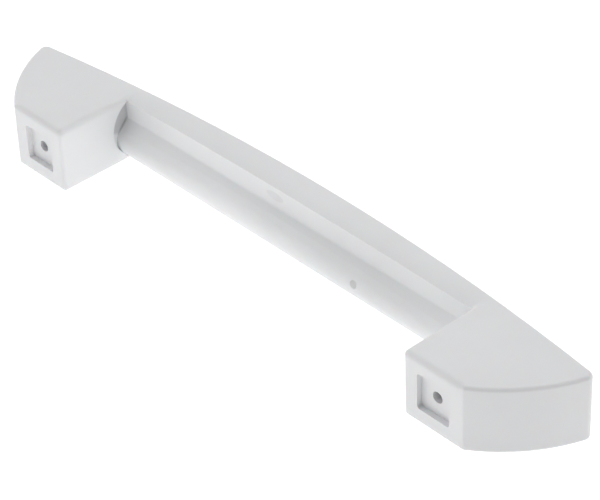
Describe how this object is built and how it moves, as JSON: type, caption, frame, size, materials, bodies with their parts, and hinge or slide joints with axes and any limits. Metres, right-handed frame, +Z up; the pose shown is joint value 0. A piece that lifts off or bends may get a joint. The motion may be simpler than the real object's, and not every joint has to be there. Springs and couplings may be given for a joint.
{
  "type": "pull handle",
  "caption": "Bowed moulded plastic pull handle for an appliance door, with a finger recess along the grip and a square seat with a blind fixing bore in each foot.",
  "frame": {"origin": "midway between the mouths of the two fixing bores, on the floors of the square seats, 2.6 mm in from the mounting faces", "axes": "+X along the handle, +Y away from the door, +Z up with the handle lying on its flat lower side and the finger recess towards the top"},
  "size_m": [0.3294, 0.053, 0.0312],
  "materials": {
    "handle_body": "satin, fine moulded texture, light grey"
  },
  "bodies": {
    "root": {"pull_handle": "handle_body"}
  },
  "joints": []
}
